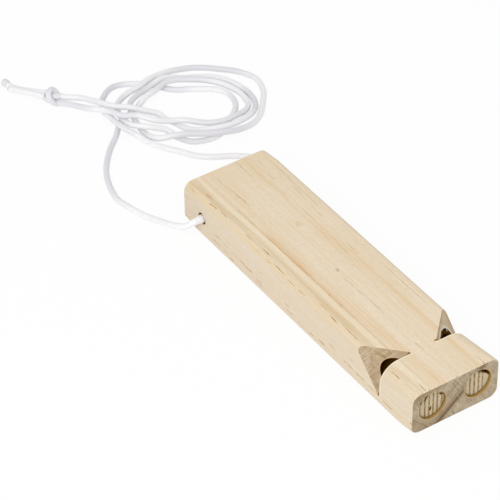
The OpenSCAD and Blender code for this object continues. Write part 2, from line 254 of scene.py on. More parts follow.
# The same on the left side: along y from, to, then the depth under the top at each end
SIDE_LINES = [
    (-75, -52, 10.8, 9.4, 0.25, 0.3),
    (-50, 0, 9.2, 8.2, 0.25, 0.3),
    (0, 60, 9.6, 8.2, 0.25, 0.2),
    (-40, -34, 9.1, 9.0, 0.3, 0.5),
    (-63, -55, 14.3, 14.1, 0.35, 0.75),
    (-69, -63, 13.5, 13.5, 0.3, 0.4),
    (-58, -53, 15.5, 15.5, 0.3, 0.35),
    (-53, -46, 13.4, 13.3, 0.32, 0.65),
    (-46, -38, 13.0, 12.9, 0.35, 0.75),
    (-39, -31, 12.8, 12.5, 0.35, 0.8),
    (-28, -22, 11.3, 11.3, 0.35, 0.6),
    (-21, -16, 14.0, 14.1, 0.38, 0.85),
    (-14, -10, 14.9, 15.1, 0.36, 0.75),
    (-28, -20, 14.1, 14.0, 0.25, 0.35),
    (1, 6, 12.0, 12.2, 0.35, 0.55),
    (-1, 5, 14.2, 14.3, 0.35, 0.5),
    (4, 13, 3.2, 3.0, 0.25, 0.4),
    (43, 55, 2.6, 2.9, 0.22, 0.35),
    (19, 23, 8.5, 8.5, 0.35, 0.5),
    (19, 25, 13.4, 13.2, 0.35, 0.55),
    (19, 25.5, 14.5, 14.7, 0.36, 0.7),
    (26, 32, 12.3, 12.6, 0.42, 0.9),
    (31, 36, 12.3, 12.0, 0.42, 0.85),
    (35, 41, 12.0, 11.8, 0.32, 0.6),
    (42, 46.5, 11.4, 11.4, 0.34, 0.5),
    (47, 53, 10.7, 11.3, 0.36, 0.55),
    (47, 53.5, 14.2, 14.2, 0.36, 0.75),
    (38, 42.5, 15.3, 15.5, 0.36, 0.65),
    (41.5, 46, 14.3, 14.3, 0.34, 0.5),
    (33, 37, 15.5, 15.5, 0.34, 0.4),
    (69, 75, 5.7, 5.9, 0.3, 0.55),
    (69.5, 75, 15.2, 15.1, 0.34, 0.5),
]

# Dashes on the rounded left edge: along y from, to, then the place round the edge at each end
EDGE_LINES = [
    (-7.5, -1.6, 0.4, 0.2, 0.26, 0.75),
    (-0.8, 5.2, 0.2, 0.2, 0.26, 0.75),
    (14.2, 19.6, 0.3, 0.2, 0.26, 0.75),
    (22, 27, 0.5, 0.5, 0.3, 0.5),
    (65.5, 71.5, 0.2, 0.4, 0.27, 0.7),
]

# Broad tan and olive bands of late wood on the top, one pale band, and the growth ring with one sharp side
TOP_BANDS = [
    (-125, 5, -5.0, -8.4, 2.9, 0.6),
    (-40, 75, -8.6, -8.0, 3.0, 0.25),
    (-125, 40, 10.2, 9.0, 2.6, 0.5),
    (-10, 100, 7.2, 7.6, 2.4, 0.6),
]
OLIVE_BANDS = [(-110, 120, -15.2, -16.0, 2.4, 0.55), (30, 100, -14.6, -17.6, 1.5, 0.8)]
PALE_BANDS = [(-130, 130, -12.2, -13.2, 1.3, 0.8)]
GROWTH_RING = [
    (-130, 130, -10.7, -11.9, 0.16, 0.25),
    (-50, 55, -11.0, -11.5, 0.24, 0.35),
    (-6, 36, -11.25, -11.5, 0.3, 0.8),
]

# Growth rings on the sawn ends, by distance across the ring: x from, to, then the place at each end
END_RING = [(-13, 9, 0.0, 0.2, 1.0, 1.0), (6, 18, 0.2, 0.0, 1.0, 0.7), (-9, 6, -5.8, -5.4, 0.6, 0.5)]
END_ARC = [(-26, -5, 0.0, 0.0, 0.35, 0.6)]
END_PORES = [
    (-1.9, 11.1), (1.2, 11.9), (-0.5, 1.4), (2, 5.4), (-4.9, 17), (3, 14.4), (7.4, 3.4), (16.8, 12.4),
    (-11, 2), (18, 6),
]
# Chips out of the left bore's rim: x from, to, then z at each end
RIM_CHIPS = [(-13.9, -12.2, 15.0, 16.1, 0.55, 1.0), (-15.9, -14.7, 13.1, 14.4, 0.65, 1.0)]

# Marks on the left slope: distance behind the mouth from, to, then the place across the corner
SLOPE_STAINS = [
    (24.0, 27.6, -3.0, -2.4, 0.9, 1.0),
    (23.2, 26.0, -4.7, -6.0, 0.6, 0.7),
    (23.0, 28.5, -4.2, -4.8, 1.3, 0.35),
    (21.8, 25.4, 6.4, 5.7, 0.6, 0.6),
    (20.0, 23.5, 7.9, 6.5, 1.0, 0.5),
]
SLOPE_PORES = [
    (32.6, -1.8), (31.5, -2.3), (30.1, -3.1), (31.3, -1.5), (32.7, 0.2), (32.2, 0.6), (31.4, 1.4),
    (29.6, 1.2), (29.2, -1.2), (29.4, -2.0), (28.3, -1.1), (27.9, -0.1), (27.4, 0.7), (26.6, 1.8),
    (25.7, 2.5), (25.2, 0.6), (28.9, 2.6), (27.5, -1.9), (28.3, -2.5),
]
# The same for the splinter left standing in the right window
SPLINTER = [(24.3, 27.2, -0.6, 0.15, 0.36, 1.0)]

# Rings on the ends of the dowel plugs: z from, to, then x at each end
PLUG_LINES = [
    (-4, 22, -14.9, -14.7, 0.6, 0.8),
    (-4, 22, -12.6, -12.4, 0.6, 0.9),
    (-4, 22, -10.8, -10.6, 0.6, 0.9),
    (-4, 22, -9.0, -8.8, 0.6, 0.9),
    (-4, 22, -7.2, -7.0, 0.65, 0.85),
    (-4, 22, -5.2, -5.0, 0.7, 0.7),
    (-4, 22, 5.6, 5.4, 0.5, 0.4),
    (-4, 22, 7.5, 7.3, 0.6, 0.9),
    (-4, 22, 9.4, 9.2, 0.6, 0.9),
    (-4, 22, 11.4, 11.2, 0.6, 0.85),
    (-4, 22, 13.1, 12.9, 0.5, 0.7),
]
# Chips out of the plugs, in the same way
PLUG_CHIPS = [
    (6.8, 8.8, -10.4, -9.9, 0.65, 1.0),
    (11.9, 13.6, -4.9, -6.4, 0.75, 1.0),
    (12.6, 14.7, -13.0, -11.6, 0.8, 1.0),
    (11.3, 12.9, -14.8, -14.1, 0.55, 1.0),
]

# Single marks on the top: a speck, two spots and a scratch along y, and a chip along x at the right kerf
SPECK = [(-3.3, -0.8, -0.85, -0.7, 0.95, 0.5)]
SPOTS = [(26.2, 29.8, 2.5, 2.5, 1.7, 0.5), (-56.9, -55.3, 15.4, 15.4, 0.6, 0.6)]
SCRATCH = [(25.2, 27.4, -4.7, -2.1, 0.16, 0.35)]
KERF_CHIP = [(4.9, 6.9, lip_y + 0.8, lip_y + 0.5, 0.7, 1.0)]

# Pores: half their length on the sawn ends and on the left slope, how far those lean, half width and strength
END_PORE_HALF = 0.5
SLOPE_PORE_HALF = 0.4
SLOPE_PORE_LEAN = 0.15
PORE_WIDTH = 0.3
PORE_STRENGTH = 0.6

# Slanting lines: a place on them, and the shares of x and z in the direction across them
ARC_X = -19.3
ARC_Z = 8.2
ARC_SLANT = (0.70, 0.714)
RING_X = -8.5
RING_SLANT = (0.647, -0.763)
SAW_SLANT = (0.862, 0.507)
# The right plug's flat, painted dark as shade from this distance from the plug's middle line
FLAT_SLANT = (0.56, 0.83)
FLAT_AT = 3.7
# How far the knife's lines run back over each millimetre across a slope
CUT_SLANT = 0.272

# Tones of the faces along the grain
PINE = SimpleNamespace(
    pale=rgb(236, 221, 197),
    tan=rgb(232, 213, 185),
    # side: painted shade, darker and greyer than the top
    side=rgb(218, 207, 190),
    mottle=rgb(226, 203, 166),
    dark_fleck=rgb(206, 186, 154),
    pale_fleck=rgb(243, 232, 213),
    ring=rgb(224, 194, 148),
    thread=rgb(220, 190, 144),
    late_wood=rgb(224, 191, 142),
    olive=rgb(208, 184, 138),
    pale_band=rgb(244, 230, 201),
    growth_ring=rgb(212, 168, 104),
    edge=rgb(208, 190, 158),
    # Painted highlight along the rounded left edge
    edge_highlight=rgb(230, 202, 150),
    canal=rgb(176, 124, 68),
    speck=rgb(160, 152, 122),
    spot=rgb(216, 194, 146),
    chip=rgb(158, 112, 36),
    scratch=rgb(176, 156, 126),
)
# Tones of the sawn ends
END = SimpleNamespace(
    brown=rgb(171, 153, 123),
    grey=rgb(190, 175, 151),
    under_arc=rgb(142, 119, 84),
    arc=rgb(118, 92, 60),
    soft_ring=rgb(136, 110, 78),
    ring=rgb(106, 80, 52),
    corner=rgb(140, 113, 72),
    dark_saw=rgb(130, 106, 78),
    pale_saw=rgb(206, 192, 174),
    pore=rgb(82, 60, 38),
    speckle=rgb(112, 88, 58),
    fluff=rgb(206, 182, 142),
    chip=rgb(92, 56, 0),
)
# Tones of the slopes, the lips in front of them and the kerfs between
SLOPE = SimpleNamespace(
    brown=rgb(176, 154, 121),
    grey=rgb(191, 173, 144),
    dark_cut=rgb(146, 119, 83),
    pale_cut=rgb(214, 201, 178),
    stain=rgb(146, 112, 56),
    pore=rgb(136, 98, 56),
    right=rgb(214, 197, 168),
    right_grain=rgb(178, 146, 108),
    right_edge=rgb(174, 130, 86),
    torn=rgb(234, 224, 206),
    # Painted shade in the torn hollow of the right window
    gap=rgb(64, 42, 9),
    # Painted highlight along the lips' edges, on pale sanded wood
    lip_highlight=rgb(252, 241, 219),
    kerf=rgb(150, 106, 52),
)
# Tones inside the bores and the cord hole: golden at the bores' mouths, then painted shade, with a glued
# joint round the plugs
WALL = SimpleNamespace(
    mouth=rgb(172, 140, 86),
    # Glued joint and painted shade where the plugs meet the bores
    glue_and_shade=rgb(100, 70, 24),
    # Painted shade further into the bores
    chamber_shade=rgb(152, 100, 22),
    # hole and hole_end: painted shade in the cord hole, lighter near its ends
    hole=rgb(134, 96, 46),
    hole_end=rgb(186, 144, 84),
)
# Tones of the plugs
DOWEL = SimpleNamespace(
    pale=rgb(214, 200, 170),
    tan=rgb(198, 181, 148),
    ring=rgb(126, 90, 40),
    # Painted shade round the edge of each recessed plug
    rim=rgb(150, 118, 72),
    # Colour of the chips, and of the painted shade on the right plug's flat
    chip=rgb(96, 62, 4),
)
# Tones of the cord
SATIN = SimpleNamespace(
    white=rgb(255, 255, 255),
    braid=rgb(237, 236, 241),
    speck=rgb(232, 231, 236),
    cloud=rgb(230, 229, 234),
    shade=rgb(198, 196, 208),
    seal=rgb(214, 213, 214),
    pale_seal=rgb(240, 240, 242),
)


# Curves and meshes

def laid(points):
    """Centres of the cord over route points that give its underside."""
    return [[x, y, z + cord_r] for x, y, z in points]


def cubic(a, b, c, d, t):
    """Smooth curve through b and c, with a and d beyond them."""
    return (2 * b + (c - a) * t + (2 * a - 5 * b + 4 * c - d) * t**2 + (3 * b - a - 3 * c + d) * t**3) / 2


def reach_at(reach, hour):
    """Reach of a coil at any hour."""
    last = len(reach) - 1
    i = min(int(hour), last - 1)
    return cubic(reach[max(i - 1, 0)], reach[i], reach[i + 1], reach[min(i + 2, last)], hour - i)


def coil(reach, lift):
    """Centres of the cord along a coil."""
    points = []
    hours, layers = zip(*lift)
    for step in range(STEPS_PER_HOUR * (len(reach) - 1) + 1):
        hour = step / STEPS_PER_HOUR
        turn = 2 * math.pi * hour / HOURS
        r = reach_at(reach, hour)
        z = cord_r + LAYER_STEP * float(np.interp(hour, hours, layers))
        points.append([COIL_MID[0] - r * math.cos(turn), COIL_MID[1] + r * math.sin(turn), z])
    return points


def in_knot(places):
    """Points given along, across and up from the middle of the knot."""
    return [knot_at + a * knot_along + b * knot_across + c * UP for a, b, c in places]


def smooth(points, pieces, floor=None):
    """A rounder line through points, with this many pieces between each two."""
    p = np.array([list(q) for q in points], float)
    p = np.vstack([2 * p[0] - p[1], p, 2 * p[-1] - p[-2]])
    line = [cubic(*p[i - 1:i + 3], k / pieces) for i in range(1, len(p) - 2) for k in range(pieces)]
    line = np.array(line + [p[-2]])
    if floor is not None:
        line[:, 2] = np.maximum(line[:, 2], floor)
    return line


def lengths(line):
    """Length along a line at each of its points."""
    return np.concatenate([[0], np.cumsum(np.linalg.norm(np.diff(line, axis=0), axis=1))])


def even(line, step):
    """The same line with points at an even step, and the length at each."""
    at = lengths(line)
    count = max(2, int(round(at[-1] / step)) + 1)
    to = np.linspace(0, at[-1], count)
    return np.stack([np.interp(to, at, line[:, axis]) for axis in range(3)], 1), to


def ring_axes(line):
    """Two directions across a line at each of its points, which turn as little as they can along it."""
    tangent = np.gradient(line, axis=0)
    tangent /= np.linalg.norm(tangent, axis=1)[:, None]
    side = np.cross(tangent, UP)
    for i in range(1, len(line)):
        side[i] = side[i - 1] - np.dot(side[i - 1], tangent[i]) * tangent[i]
        side[i] /= np.linalg.norm(side[i])
    side[0] /= np.linalg.norm(side[0])
    return side, np.cross(side, tangent)


def tube_faces(along):
    """Faces of a closed tube, ring by ring, and the length and the turn at each corner of each face."""
    last_ring = (len(along) - 1) * TUBE_SIDES
    first = len(along) * TUBE_SIDES
    last = first + 1
    arc = cord_d * math.pi / TUBE_SIDES
    faces, marks = [], []
    for i, (start, end) in enumerate(zip(along[:-1], along[1:])):
        ring, following = i * TUBE_SIDES, (i + 1) * TUBE_SIDES
        for k in range(TUBE_SIDES):
            n = (k + 1) % TUBE_SIDES
            low, high = k * arc, (k + 1) * arc
            faces.append((ring + k, following + k, following + n, ring + n))
            marks += [(start, low), (end, low), (end, high), (start, high)]
    for k in range(TUBE_SIDES):
        n = (k + 1) % TUBE_SIDES
        faces += [(first, k, n), (last, last_ring + n, last_ring + k)]
        marks += [(along[0], k * arc)] * 3 + [(along[-1], k * arc)] * 3
    return faces, marks


def sweep(name, line, radii, along=None):
    """A closed tube round a line, in millimetres, as are the length and the turn in its UV map.
    along is each point's place on the whole cord."""
    side, up = ring_axes(line)
    radii = np.broadcast_to(radii, len(line))
    turn = 2 * math.pi * np.arange(TUBE_SIDES) / TUBE_SIDES
    ring = np.cos(turn)[None, :, None] * side[:, None] + np.sin(turn)[None, :, None] * up[:, None]
    verts = (line[:, None] + radii[:, None, None] * ring).reshape(-1, 3)
    verts = np.vstack([verts, line[:1], line[-1:]]) * MM
    faces, marks = tube_faces(lengths(line) if along is None else along)
    mesh = bpy.data.meshes.new(name)
    mesh.from_pydata([tuple(v) for v in verts], [], faces)
    mesh.uv_layers.new(name=UV_NAME).data.foreach_set("uv", np.array(marks, float).ravel())
    mesh.polygons.foreach_set("use_smooth", [True] * len(faces))
    mesh.update()
    return linked(name, mesh)


def linked(name, data):
    """A new object in the scene."""
    made = bpy.data.objects.new(name, data)
    bpy.context.scene.collection.objects.link(made)
    return made


# Material nodes

class Graph:
    """A node tree, built one call at a time. A value is a socket or a plain number."""

    def __init__(self, tree):
        self.tree = tree
        tree.nodes.clear()

    def set(self, socket, value):
        if isinstance(value, bpy.types.NodeSocket):
            self.tree.links.new(value, socket)
        else:
            socket.default_value = value

    def node(self, kind, inputs, **settings):
        made = self.tree.nodes.new(kind)
        for key, value in settings.items():
            setattr(made, key, value)
        for key, value in inputs.items():
            self.set(made.inputs[key], value)
        return made

    def math(self, operation, a, b=0.0):
        return self.node("ShaderNodeMath", {0: a, 1: b}, operation=operation).outputs[0]

    def add(self, a, b):
        return self.math("ADD", a, b)

    def sub(self, a, b):
        return self.math("SUBTRACT", a, b)

    def mul(self, a, b):
        return self.math("MULTIPLY", a, b)

    def div(self, a, b):
        return self.math("DIVIDE", a, b)

    def most(self, a, b):
        return self.math("MAXIMUM", a, b)

    def size(self, a):
        return self.math("ABSOLUTE", a)

    def far(self, a, b):
        """Distance from the axis that both count from."""
        return self.math("SQRT", self.add(self.mul(a, a), self.mul(b, b)))

    def step(self, value, low, high):
        """0 up to low, 1 from high, and smooth between."""
        made = self.node(
            "ShaderNodeMapRange",
            {"Value": value, "From Min": low, "From Max": high},
            interpolation_type="SMOOTHSTEP",
            clamp=False,
        )
        return made.outputs["Result"]

    def join(self, x, y, z):
        return self.node("ShaderNodeCombineXYZ", {"X": x, "Y": y, "Z": z}).outputs[0]

    def spread(self, x, y, z, by_x, by_y, by_z):
        """A place with its three axes scaled, for a texture."""
        return self.join(self.mul(x, by_x), self.mul(y, by_y), self.mul(z, by_z))

    def split(self, vector):
        return self.node("ShaderNodeSeparateXYZ", {"Vector": vector}).outputs[:]

    def noise(self, vector, detail=2.0, rough=0.5):
        inputs = {"Vector": vector, "Scale": 1.0, "Detail": detail, "Roughness": rough}
        return self.node("ShaderNodeTexNoise", inputs).outputs["Fac"]

    def waver(self, vector, reach, detail=2.0, rough=0.5):
        """Noise to both sides of 0."""
        return self.mul(self.sub(self.noise(vector, detail, rough), 0.5), reach)

    def cells(self, vector):
        """Distance to the nearest of scattered points, one to a cell."""
        return self.node("ShaderNodeTexVoronoi", {"Vector": vector, "Scale": 1.0}).outputs["Distance"]

    def mix(self, factor, a, b):
        """Colour a, or b where the factor is 1."""
        made = self.node("ShaderNodeMix", {"Factor": factor}, data_type="RGBA")
        self.set(made.inputs[6], a)
        self.set(made.inputs[7], b)
        return made.outputs[2]

    def tint(self, colour, tone, share, value, low, high):
        """A colour with a share of a tone in it as a value goes from low to high."""
        return self.mix(self.mul(self.step(value, low, high), share), colour, tone)

    def shader(self, colour, roughness, bump, depth, **constants):
        """Ends a material in one principled shader. depth is the height of the bumps."""
        normal = self.node("ShaderNodeBump", {"Height": bump, "Distance": depth, "Strength": 1.0}).outputs[0]
        inputs = {"Base Color": colour, "Roughness": roughness, "Normal": normal}
        made = self.node("ShaderNodeBsdfPrincipled", inputs)
        for key, value in constants.items():
            self.set(made.inputs[key.replace("_", " ")], value)
        self.node("ShaderNodeOutputMaterial", {"Surface": made.outputs[0]})

    def place(self):
        """x, y and z in the part's frame, in millimetres."""
        spot = self.node("ShaderNodeTexCoord", {}).outputs["Object"]
        scaled = self.node("ShaderNodeVectorMath", {0: spot, "Scale": 1 / MM}, operation="SCALE").outputs[0]
        return self.split(scaled)

    def facing(self):
        """The three parts of the surface's own direction."""
        return self.split(self.node("ShaderNodeNewGeometry", {}).outputs["Normal"])


def new_material(name):
    """A new material, and the graph of its nodes."""
    material = bpy.data.materials.new(name)
    material.use_nodes = True
    return material, Graph(material.node_tree)


# A streak is full over this share of its half width. The larger the taper, the blunter its ends
STREAK_CORE = 0.2
STREAK_TAPER = 5.0


def streak_group():
    """Node group: one slim streak along the grain, which tapers out at both ends."""
    tree = bpy.data.node_groups.new("streak", "ShaderNodeTree")
    for name in ("Across", "Along", "Start", "End", "From", "To", "Low", "High", "Strength"):
        tree.interface.new_socket(name, in_out="INPUT", socket_type="NodeSocketFloat")
    tree.interface.new_socket("Value", in_out="OUTPUT", socket_type="NodeSocketFloat")
    g = Graph(tree)
    take = g.node("NodeGroupInput", {}).outputs

    # No node here clamps by itself: Cycles would keep the values of all streaks at once, and run out of room
    share = g.div(g.sub(take["Along"], take["Start"]), g.sub(take["End"], take["Start"]))
    middle = g.add(take["From"], g.mul(share, g.sub(take["To"], take["From"])))
    off = g.sub(take["Across"], middle)
    below = g.div(g.mul(off, -1.0), take["Low"])
    above = g.div(off, take["High"])
    band = g.step(g.most(below, above), 1.0, STREAK_CORE)
    taper = g.mul(g.mul(share, g.sub(1.0, share)), STREAK_TAPER)
    ends = g.math("MINIMUM", g.most(taper, 0.0), 1.0)
    value = g.mul(g.mul(band, ends), take["Strength"])
    g.node("NodeGroupOutput", {"Value": value})
    return tree


STREAK = streak_group()


def streaks(g, across, along, rows, lean=1.0):
    """The strongest of a list of streaks: start, end, place at each, half width and strength.
    lean makes the half towards larger places wider than the other."""
    total = 0.0
    for start, end, at_start, at_end, width, strength in rows:
        one = g.node("ShaderNodeGroup", {}, node_tree=STREAK)
        values = (across, along, start, end, at_start, at_end, width, width * lean, strength)
        for socket, value in zip(one.inputs, values):
            g.set(socket, value)
        total = g.most(total, one.outputs[0])
    return total


# Materials

def from_bore(g, x, z, out=0.0, up=0.0):
    """Distance from the middle line of the nearer bore, or from a line beside it."""
    return g.far(g.sub(g.size(x), bore_x + out), g.sub(z, bore_z + up))


def slanted(g, x, z, by_x, by_z):
    """Place along a slanting direction across the block."""
    return g.add(g.mul(x, by_x), g.mul(z, by_z))


def pine_material():
    """Pale sanded pine: long grain along the block, and end grain where a saw or a knife crossed it."""
    material, g = new_material("pine")
    x, y, z = g.place()
    nx, ny, nz = g.facing()
    ragged = g.waver(g.spread(x, y, z, 1.4, 1.4, 1.4), 0.5)
    at_end = g.step(g.add(g.size(ny), ragged), 0.72, 0.8)
    on_slope = g.mul(g.step(g.mul(ny, -1.0), 0.3, 0.45), g.step(y, mouth_y + 5, mouth_y + 6))
    colour = long_grain(g, x, y, z, nx, nz)
    colour = g.mix(at_end, colour, end_grain(g, x, y, z))
    slope, gap = slope_grain(g, x, y, z)
    colour = g.mix(on_slope, colour, slope)
    colour = notch_edges(g, colour, x, y, z, nx, nz)
    colour, wall = hole_walls(g, colour, x, y, z)
    fibres = g.noise(g.spread(x, y, z, 5.0, 0.25, 5.0), detail=3.0)
    nap = g.noise(g.spread(x, y, z, 1.8, 1.2, 1.8), detail=3.0)
    roughness = g.add(0.55, g.mul(fibres, 0.15))
    height = g.add(g.mul(fibres, 0.5), g.mul(nap, 0.5))
    # No gloss on the bore walls nor on the painted shade of the torn window
    gloss = g.mul(g.sub(1.0, g.most(g.mul(gap, on_slope), wall)), 0.2)
    g.shader(colour, roughness, height, 0.05 * MM, Specular_IOR_Level=gloss)
    return material


def long_grain(g, x, y, z, nx, nz):
    """Faces along the grain. Their marks go by how far a face looks up or to the left."""
    upper = g.step(nz, 0.35, 0.8)
    left_side = g.step(g.mul(nx, -1.0), 0.35, 0.8)
    edge = g.mul(g.step(nz, 0.1, 0.5), g.step(g.mul(nx, -1.0), 0.1, 0.5))
    colour = bare_wood(g, x, y, z, upper)
    waver = g.waver(g.spread(x, y, z, 0.12, 0.035, 0.12), 1.6)
    colour = growth_lines(g, colour, x, y, z, waver, upper, edge)
    canals = resin_canals(g, x, y, z, waver, upper, left_side, edge)
    colour = g.mix(canals, colour, PINE.canal)
    return top_marks(g, colour, x, y, upper)


def bare_wood(g, x, y, z, upper):
    """Slow drift of the pine's colour, with painted shade darker and greyer down the sides, and fine mottle
    and flecks.
    """
    drift = g.noise(g.spread(x, y, z, 0.07, 0.014, 0.07), detail=3.0)
    mottle = g.noise(g.spread(x, y, z, 1.2, 0.5, 1.2), detail=3.0, rough=0.6)
    colour = g.mix(g.step(drift, 0.3, 0.7), PINE.pale, PINE.tan)
    # Painted shade: the faces that don't look up go darker and greyer
    colour = g.mix(g.mul(g.sub(1.0, upper), 0.75), colour, PINE.side)
    colour = g.tint(colour, PINE.mottle, 0.28, mottle, 0.4, 0.7)
    fleck = g.noise(g.spread(x, y, z, 2.2, 0.8, 2.2), detail=1.0)
    colour = g.tint(colour, PINE.dark_fleck, 0.13, fleck, 0.5, 0.66)
    return g.tint(colour, PINE.pale_fleck, 0.17, fleck, 0.48, 0.34)


def growth_lines(g, colour, x, y, z, waver, upper, edge):
    """Faint lines of every year's growth, and the bands of late wood on the top. All share one slow waver."""
    across = g.add(x, waver)
    high = g.add(z, waver)
    rings = g.noise(g.spread(across, y, high, 0.9, 0.01, 0.9), detail=4.0, rough=0.6)
    colour = g.tint(colour, PINE.ring, 0.35, rings, 0.48, 0.75)
    threads = g.step(g.noise(g.spread(across, y, high, 1.7, 0.03, 1.7), rough=0.6), 0.4, 0.62)
    colour = g.mix(g.mul(threads, 0.16), colour, PINE.thread)
    broad = g.mul(streaks(g, across, y, TOP_BANDS), upper)
    colour = g.mix(g.mul(broad, g.add(0.16, g.mul(threads, 0.6))), colour, PINE.late_wood)
    olive = g.mul(streaks(g, across, y, OLIVE_BANDS), g.most(upper, edge))
    colour = g.mix(g.mul(olive, g.add(0.22, g.mul(threads, 0.6))), colour, PINE.olive)
    pale = g.mul(streaks(g, across, y, PALE_BANDS), upper)
    colour = g.mix(g.mul(pale, 0.5), colour, PINE.pale_band)
    ring = g.mul(streaks(g, g.add(x, g.mul(waver, 0.2)), y, GROWTH_RING, lean=9.0), upper)
    colour = g.mix(g.mul(ring, g.add(0.35, g.mul(threads, 0.45))), colour, PINE.growth_ring)
    colour = g.mix(g.mul(edge, 0.35), colour, PINE.edge)
    # Painted highlight: a warmer streaked glow on the rounded left edge, growing from the mouth end to the
    # tail
    warm = g.mul(edge, g.mul(g.step(y, -60.0, 50.0), g.mul(threads, 0.35)))
    return g.mix(warm, colour, PINE.edge_highlight)


def resin_canals(g, x, y, z, waver, upper, left_side, edge):
    """Where resin canals show: listed for the top, the left side and its edge, scattered elsewhere."""
    depth = g.sub(top_z, z)
    uneven = g.waver(g.spread(x, y, z, 1.2, 0.3, 1.2), 0.5)
    shift = g.add(g.mul(waver, 0.25), uneven)
    on_top = g.mul(streaks(g, g.add(x, shift), y, TOP_LINES), upper)
    on_left = g.mul(streaks(g, g.add(depth, shift), y, SIDE_LINES), left_side)
    round_edge = g.add(g.sub(g.add(x, half_w), depth), uneven)
    on_edge = g.mul(streaks(g, round_edge, y, EDGE_LINES), edge)
    elsewhere = g.sub(1.0, g.most(upper, left_side))
    cell = g.cells(g.spread(x, y, z, 0.5, 0.085, 0.5))
    scattered = g.mul(g.mul(g.step(cell, 0.16, 0.06), 0.7), elsewhere)
    broken = g.step(g.noise(g.spread(x, y, z, 1.6, 0.5, 1.6)), 0.3, 0.62)
    marks = g.most(g.most(on_top, on_left), g.most(on_edge, scattered))
    return g.step(g.mul(marks, g.add(0.55, g.mul(broken, 0.45))), 0.08, 0.8)


def top_marks(g, colour, x, y, upper):
    """One grey speck, two faint spots, a chip at the right kerf's end and one scratch on the top."""
    speck = g.mul(streaks(g, x, y, SPECK), upper)
    colour = g.mix(speck, colour, PINE.speck)
    spots = g.mul(streaks(g, x, y, SPOTS), upper)
    colour = g.mix(spots, colour, PINE.spot)
    chip = g.mul(streaks(g, y, x, KERF_CHIP), upper)
    colour = g.mix(chip, colour, PINE.chip)
    scratch = g.mul(streaks(g, x, y, SCRATCH), upper)
    return g.mix(scratch, colour, PINE.scratch)


def end_grain(g, x, y, z):
    """Sawn ends: growth rings, saw marks, a few pores, and the fluffed and chipped mouths of the bores."""
    cloud = g.noise(g.spread(x, y, z, 0.22, 0.22, 0.22), detail=4.0)
    colour = g.mix(g.step(cloud, 0.3, 0.7), END.brown, END.grey)
    colour = end_rings(g, colour, x, z)
    colour = saw_marks(g, colour, x, y, z)
    speckle = g.noise(g.spread(x, y, z, 2.0, 2.0, 2.0), detail=3.0)
    colour = g.tint(colour, END.speckle, 0.4, speckle, 0.56, 0.7)
    at_mouth = g.step(y, 1.0, -1.0)
    fluffed = g.mul(g.step(from_bore(g, x, z), BORE_R + 0.5, BORE_R + 0.1), at_mouth)
    colour = g.mix(g.mul(fluffed, 0.6), colour, END.fluff)
    chips = g.step(streaks(g, z, x, RIM_CHIPS), 0.1, 0.5)
    return g.mix(g.mul(chips, at_mouth), colour, END.chip)


def end_rings(g, colour, x, z):
    """Growth rings on the sawn ends: an arc at the lower left, a dark ring across, and a brown corner."""
    arc = slanted(g, g.sub(x, ARC_X), g.sub(z, ARC_Z), *ARC_SLANT)
    colour = g.tint(colour, END.under_arc, 0.45, arc, 0.6, -1.0)
    colour = g.mix(streaks(g, arc, x, END_ARC), colour, END.arc)
    ring = slanted(g, g.sub(x, RING_X), z, *RING_SLANT)
    soft = g.mul(g.mul(g.step(ring, -4.5, 0.0), g.step(ring, 2.0, 0.0)), 0.7)
    colour = g.mix(soft, colour, END.soft_ring)
    colour = g.mix(g.mul(streaks(g, ring, x, END_RING, lean=1.2), 0.75), colour, END.ring)
    corner = g.mul(g.step(x, -6.0, -12.0), g.step(z, 11.0, 16.0))
    return g.mix(g.mul(corner, 0.55), colour, END.corner)


def saw_marks(g, colour, x, y, z):
    """Saw marks that slant from upper left to lower right, with pores along them."""
    by_x, by_z = SAW_SLANT
    over = slanted(g, x, z, by_x, by_z)
    down = slanted(g, x, z, by_z, -by_x)
    saw = g.noise(g.spread(over, down, y, 1.9, 0.13, 0.3), rough=0.6)
    colour = g.tint(colour, END.dark_saw, 0.45, saw, 0.5, 0.72)
    colour = g.tint(colour, END.pale_saw, 0.4, saw, 0.46, 0.28)
    rows = []
    for pore_x, pore_z in END_PORES:
        across = by_x * pore_x + by_z * pore_z
        along = by_z * pore_x - by_x * pore_z
        rows.append((along - END_PORE_HALF, along + END_PORE_HALF, across, across, PORE_WIDTH, PORE_STRENGTH))
    return g.mix(streaks(g, over, down, rows), colour, END.pore)


def slope_grain(g, x, y, z):
    """Slopes behind the sounding windows: cross-cut wood with fine lines.
    Gives their colour, and the painted shade where the right window is torn wider."""
    behind = g.sub(y, mouth_y)
    side = g.size(x)
    over = g.mul(g.add(g.sub(side, half_w), g.sub(top_z, z)), math.sqrt(0.5))
    left = g.step(x, 1.0, -1.0)
    right = g.sub(1.0, left)
    cloud = g.noise(g.spread(x, y, z, 0.4, 0.4, 0.4), detail=3.0)
    line = g.sub(behind, g.mul(over, CUT_SLANT))
    cut = g.noise(g.join(g.mul(line, 3.1), g.mul(over, 0.12), 0.0), detail=1.0)
    colour = g.mix(g.step(cloud, 0.3, 0.7), SLOPE.brown, SLOPE.grey)
    colour = g.tint(colour, SLOPE.dark_cut, 0.36, cut, 0.5, 0.66)
    colour = g.tint(colour, SLOPE.pale_cut, 0.33, cut, 0.48, 0.32)
    colour = left_slope(g, colour, behind, over, cloud, left)
    colour = right_slope(g, colour, z, side, behind, over, cloud, right)
    return torn_window(g, colour, x, y, z, behind, over, right)


def left_slope(g, colour, behind, over, cloud, left):
    """Stains and pores of the left slope."""
    stains = g.mul(streaks(g, over, behind, SLOPE_STAINS), left)
    blotchy = g.mul(stains, g.add(0.35, g.mul(g.step(cloud, 0.35, 0.6), 0.4)))
    colour = g.mix(blotchy, colour, SLOPE.stain)
    rows = []
    for at, place in SLOPE_PORES:
        start, end = at - SLOPE_PORE_HALF, at + SLOPE_PORE_HALF
        rows.append((start, end, place, place + SLOPE_PORE_LEAN, PORE_WIDTH, PORE_STRENGTH))
    pores = g.mul(streaks(g, over, behind, rows), left)
    return g.mix(pores, colour, SLOPE.pore)


